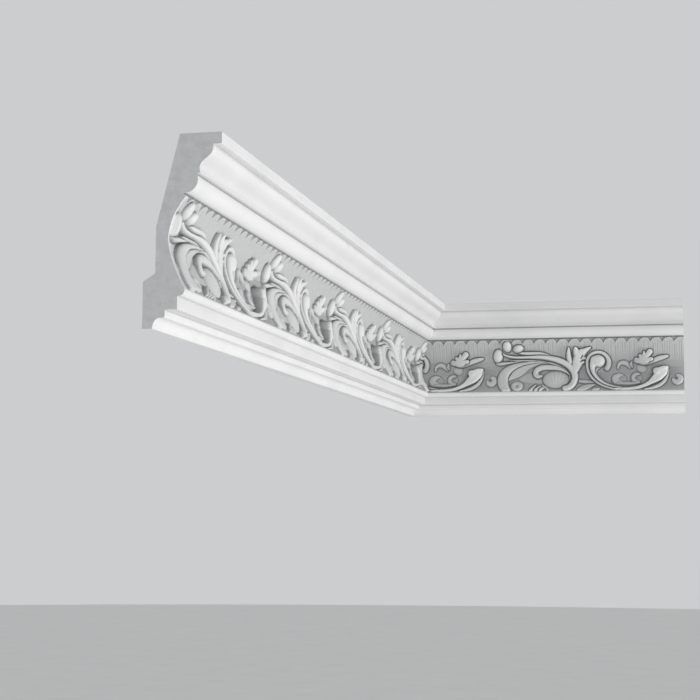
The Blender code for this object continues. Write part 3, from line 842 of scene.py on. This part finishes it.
def value_range(tree, source, low, high, start=0.3, end=0.7):
    """A value between start and end, stretched to run from low to high."""
    stretch = tree.nodes.new("ShaderNodeMapRange")
    stretch.inputs["From Min"].default_value = start
    stretch.inputs["From Max"].default_value = end
    stretch.inputs["To Min"].default_value = low
    stretch.inputs["To Max"].default_value = high
    tree.links.new(source, stretch.inputs["Value"])
    return stretch.outputs["Result"]


def bumped(tree, shader, source, strength, distance, under=None):
    """Bump on the shader from a height value."""
    bump = tree.nodes.new("ShaderNodeBump")
    bump.inputs["Strength"].default_value = strength
    bump.inputs["Distance"].default_value = distance
    tree.links.new(source, bump.inputs["Height"])
    if under:
        tree.links.new(under, bump.inputs["Normal"])
    tree.links.new(bump.outputs["Normal"], shader.inputs["Normal"])
    return bump.outputs["Normal"]


def white_primer():
    """Sprayed white primer: a soft eggshell with faint drifts, painted shade in its hollows, grooves
    and flanks, and a fine orange peel.
    """
    finish = bpy.context.scene.cornice_finish
    material, tree, shader = new_material("sprayed_primer", finish.primer_rough)
    if tree is None:
        return material
    drift = noise(tree, 9.0, 4.0, 0.6)
    colour = colour_ramp(tree, drift, finish.primer_worn, finish.primer, 0.25, 0.55)
    # Painted shade: the mesh's shade attribute mixes the primer towards the shade colour.
    hollow = tree.nodes.new("ShaderNodeAttribute")
    hollow.attribute_name = "painted_shade"
    mix = tree.nodes.new("ShaderNodeMix")
    mix.data_type = "RGBA"
    tree.links.new(hollow.outputs["Fac"], mix.inputs["Factor"])
    tree.links.new(colour, mix.inputs[6])
    mix.inputs[7].default_value = (*finish.painted_shade_colour, 1)
    tree.links.new(mix.outputs[2], shader.inputs["Base Color"])
    patches = value_range(tree, noise(tree, 60.0, 3.0), finish.primer_rough - 0.07,
                          finish.primer_rough + 0.08)
    tree.links.new(patches, shader.inputs["Roughness"])
    peel = bumped(tree, shader, noise(tree, 900.0, 2.0), 0.25, 0.0002)
    bumped(tree, shader, noise(tree, 220.0, 3.0, 0.6), 0.3, 0.0004, peel)
    return material


def cut_foam():
    """The foam at a sawn end: grey, with fine open cells and faint saw marks."""
    finish = bpy.context.scene.cornice_finish
    material, tree, shader = new_material("cut_foam", 0.85)
    if tree is None:
        return material
    place = tree.nodes.new("ShaderNodeTexCoord")
    cells = tree.nodes.new("ShaderNodeTexVoronoi")
    cells.inputs["Scale"].default_value = 1400.0
    tree.links.new(place.outputs["Object"], cells.inputs["Vector"])
    darker = tuple(0.86 * part for part in finish.core)
    colour = colour_ramp(tree, noise(tree, 120.0, 5.0, 0.7), darker, finish.core)
    tree.links.new(colour, shader.inputs["Base Color"])
    pores = bumped(tree, shader, cells.outputs["Distance"], 0.5, 0.0003)
    saw = tree.nodes.new("ShaderNodeTexWave")
    saw.bands_direction = "Z"
    saw.inputs["Scale"].default_value = 160.0
    saw.inputs["Distortion"].default_value = 2.0
    tree.links.new(place.outputs["Object"], saw.inputs["Vector"])
    bumped(tree, shader, saw.outputs["Fac"], 0.15, 0.0002, pores)
    return material


def bare_skin():
    """The moulded skin at the hidden back: warmer, duller, with flow marks and pinholes."""
    finish = bpy.context.scene.cornice_finish
    material, tree, shader = new_material("bare_skin", 0.7)
    if tree is None:
        return material
    flow = noise(tree, 25.0, 5.0, 0.65)
    darker = tuple(0.85 * part for part in finish.skin)
    tree.links.new(colour_ramp(tree, flow, darker, finish.skin), shader.inputs["Base Color"])
    ripples = bumped(tree, shader, noise(tree, 70.0, 4.0), 0.5, 0.001)
    bumped(tree, shader, noise(tree, 700.0, 1.0), 0.35, 0.0004, ripples)
    return material


class CORNICE_OT_side_run(bpy.types.Operator):
    """The long run beside the viewer, from its square end to the mitre."""

    bl_idname = "cornice.side_run"
    bl_label = "Side run"

    def execute(self, context):
        frieze = context.scene.cornice_frieze
        length = CORNER_Y - NEAR_Y
        ends = [((0, 0, 0), (0, -1, 0)), ((0, length - SET_BACK, 0), (1, 1, 0))]
        place = Matrix.Translation((WALL_X, NEAR_Y, BASE_Z))
        run_piece("side_run", length, frieze.side_start, ends, frieze.side_triangles, place,
                  margin=True)
        return {"FINISHED"}


class CORNICE_OT_back_run(bpy.types.Operator):
    """The short run across the back, from the mitre to its square end."""

    bl_idname = "cornice.back_run"
    bl_label = "Back run"

    def execute(self, context):
        frieze = context.scene.cornice_frieze
        length = END_X - WALL_X
        ends = [((0, SET_BACK, 0), (1, -1, 0)), ((0, length, 0), (0, 1, 0))]
        corner = Matrix.Translation((WALL_X, CORNER_Y, BASE_Z))
        place = corner @ Matrix.Rotation(-math.pi / 2, 4, "Z")
        run_piece("back_run", length, frieze.back_start, ends, frieze.back_triangles, place,
                  plain_last=True)
        return {"FINISHED"}


def area_light(name, place, target, size, power, colour):
    """A soft round light that looks at a point."""
    light = bpy.data.lights.new(name, "AREA")
    light.shape = "DISK"
    light.size = size
    light.energy = power
    light.color = colour
    lamp = bpy.data.objects.new(name, light)
    lamp.location = place
    lamp.rotation_euler = (Vector(target) - Vector(place)).to_track_quat("-Z", "Y").to_euler()
    bpy.context.scene.collection.objects.link(lamp)


class CORNICE_OT_stage(bpy.types.Operator):
    """The pale floor, the soft lights and the camera."""

    bl_idname = "cornice.stage"
    bl_label = "Stage"

    def execute(self, context):
        stage = context.scene.cornice_stage
        self.floor(stage)
        self.lights(context.scene, stage)
        self.camera(context.scene, stage)
        return {"FINISHED"}

    def floor(self, stage):
        """A wide pale disc far below the part."""
        shape = bmesh.new()
        place = Matrix.Translation((0, 0, BASE_Z - stage.floor_drop))
        bmesh.ops.create_circle(shape, cap_ends=True, segments=96, radius=30.0, matrix=place)
        mesh = bpy.data.meshes.new("floor")
        shape.to_mesh(mesh)
        shape.free()
        floor = bpy.data.objects.new("floor", mesh)
        bpy.context.scene.collection.objects.link(floor)
        material, tree, shader = new_material("floor_paint", 0.8)
        wash = noise(tree, 3.0, 4.0)
        lower = tuple(0.97 * part for part in stage.floor_colour)
        tree.links.new(colour_ramp(tree, wash, lower, stage.floor_colour),
                       shader.inputs["Base Color"])
        mesh.materials.append(material)

    def lights(self, scene, stage):
        """Pale surroundings, brighter beyond the part, and two soft lights low on the right."""
        world = bpy.data.worlds.new("studio")
        world.use_nodes = True
        tree = world.node_tree
        sky = tree.nodes["Background"]
        sky.inputs["Color"].default_value = (0.97, 0.985, 1.0, 1)
        way = tree.nodes.new("ShaderNodeTexCoord")
        parts = tree.nodes.new("ShaderNodeSeparateXYZ")
        tree.links.new(way.outputs["Generated"], parts.inputs["Vector"])
        strength = value_range(tree, parts.outputs["Y"], stage.near_dim, stage.far_dim,
                               start=-0.6, end=0.8)
        tree.links.new(strength, sky.inputs["Strength"])
        scene.world = world
        area_light("key", (2.6, 0.1, -0.6), (0.1, 0.1, 0.06), 1.0, stage.key_power,
                   (1.0, 0.995, 0.985))
        area_light("fill", (1.2, -1.9, -0.9), (0.2, 0.5, 0.06), 1.0, stage.fill_power,
                   (1.0, 1.0, 1.0))

    def camera(self, scene, stage):
        """The photograph's view: below the moulding, looking up along the side run."""
        lens = bpy.data.cameras.new("camera")
        lens.sensor_width = 36.0
        lens.lens = stage.lens
        lens.clip_end = 60.0
        camera = bpy.data.objects.new("camera", lens)
        foot = Vector((WALL_X, NEAR_Y, BASE_Z))
        place = foot + HEIGHT * Vector((2.84351, -7.61491, -0.93805))
        heading = -0.2273
        pitch = 0.10345
        roll = 0.00583
        turn = (Matrix.Rotation(-heading, 4, "Z") @ Matrix.Rotation(math.pi / 2 + pitch, 4, "X")
                @ Matrix.Rotation(roll, 4, "Z"))
        camera.matrix_world = Matrix.Translation(place) @ turn
        scene.collection.objects.link(camera)
        scene.camera = camera


class CORNICE_PT_panel(bpy.types.Panel):
    """The cornice's steps and settings in the sidebar."""

    bl_label = "Corner Cornice"
    bl_space_type = "VIEW_3D"
    bl_region_type = "UI"
    bl_category = "Cornice"

    def draw(self, context):
        layout = self.layout
        for operator in OPERATORS:
            layout.operator(operator.bl_idname)
        for name in ("cornice_section", "cornice_frieze", "cornice_finish", "cornice_stage"):
            group = getattr(context.scene, name)
            for setting in group.__annotations__:
                layout.prop(group, setting)


GROUPS = {
    "cornice_section": CorniceSection,
    "cornice_frieze": CorniceFrieze,
    "cornice_finish": CorniceFinish,
    "cornice_stage": CorniceStage,
}
OPERATORS = (CORNICE_OT_side_run, CORNICE_OT_back_run, CORNICE_OT_stage)


def register():
    for name, group in GROUPS.items():
        bpy.utils.register_class(group)
        setattr(bpy.types.Scene, name, PointerProperty(type=group))
    for item in (*OPERATORS, CORNICE_PT_panel):
        bpy.utils.register_class(item)


def unregister():
    for item in (CORNICE_PT_panel, *reversed(OPERATORS)):
        bpy.utils.unregister_class(item)
    for name, group in GROUPS.items():
        delattr(bpy.types.Scene, name)
        bpy.utils.unregister_class(group)


def clear_start():
    """Removes what the startup scene holds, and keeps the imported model."""
    for name in ("Cube", "Light", "Camera"):
        item = bpy.data.objects.get(name)
        if item:
            bpy.data.objects.remove(item)


def main():
    register()
    clear_start()
    bpy.context.scene.view_settings.view_transform = "Standard"
    bpy.ops.cornice.side_run()
    bpy.ops.cornice.back_run()
    bpy.ops.cornice.stage()
    bpy.context.view_layer.update()


if __name__ == "__main__":
    main()
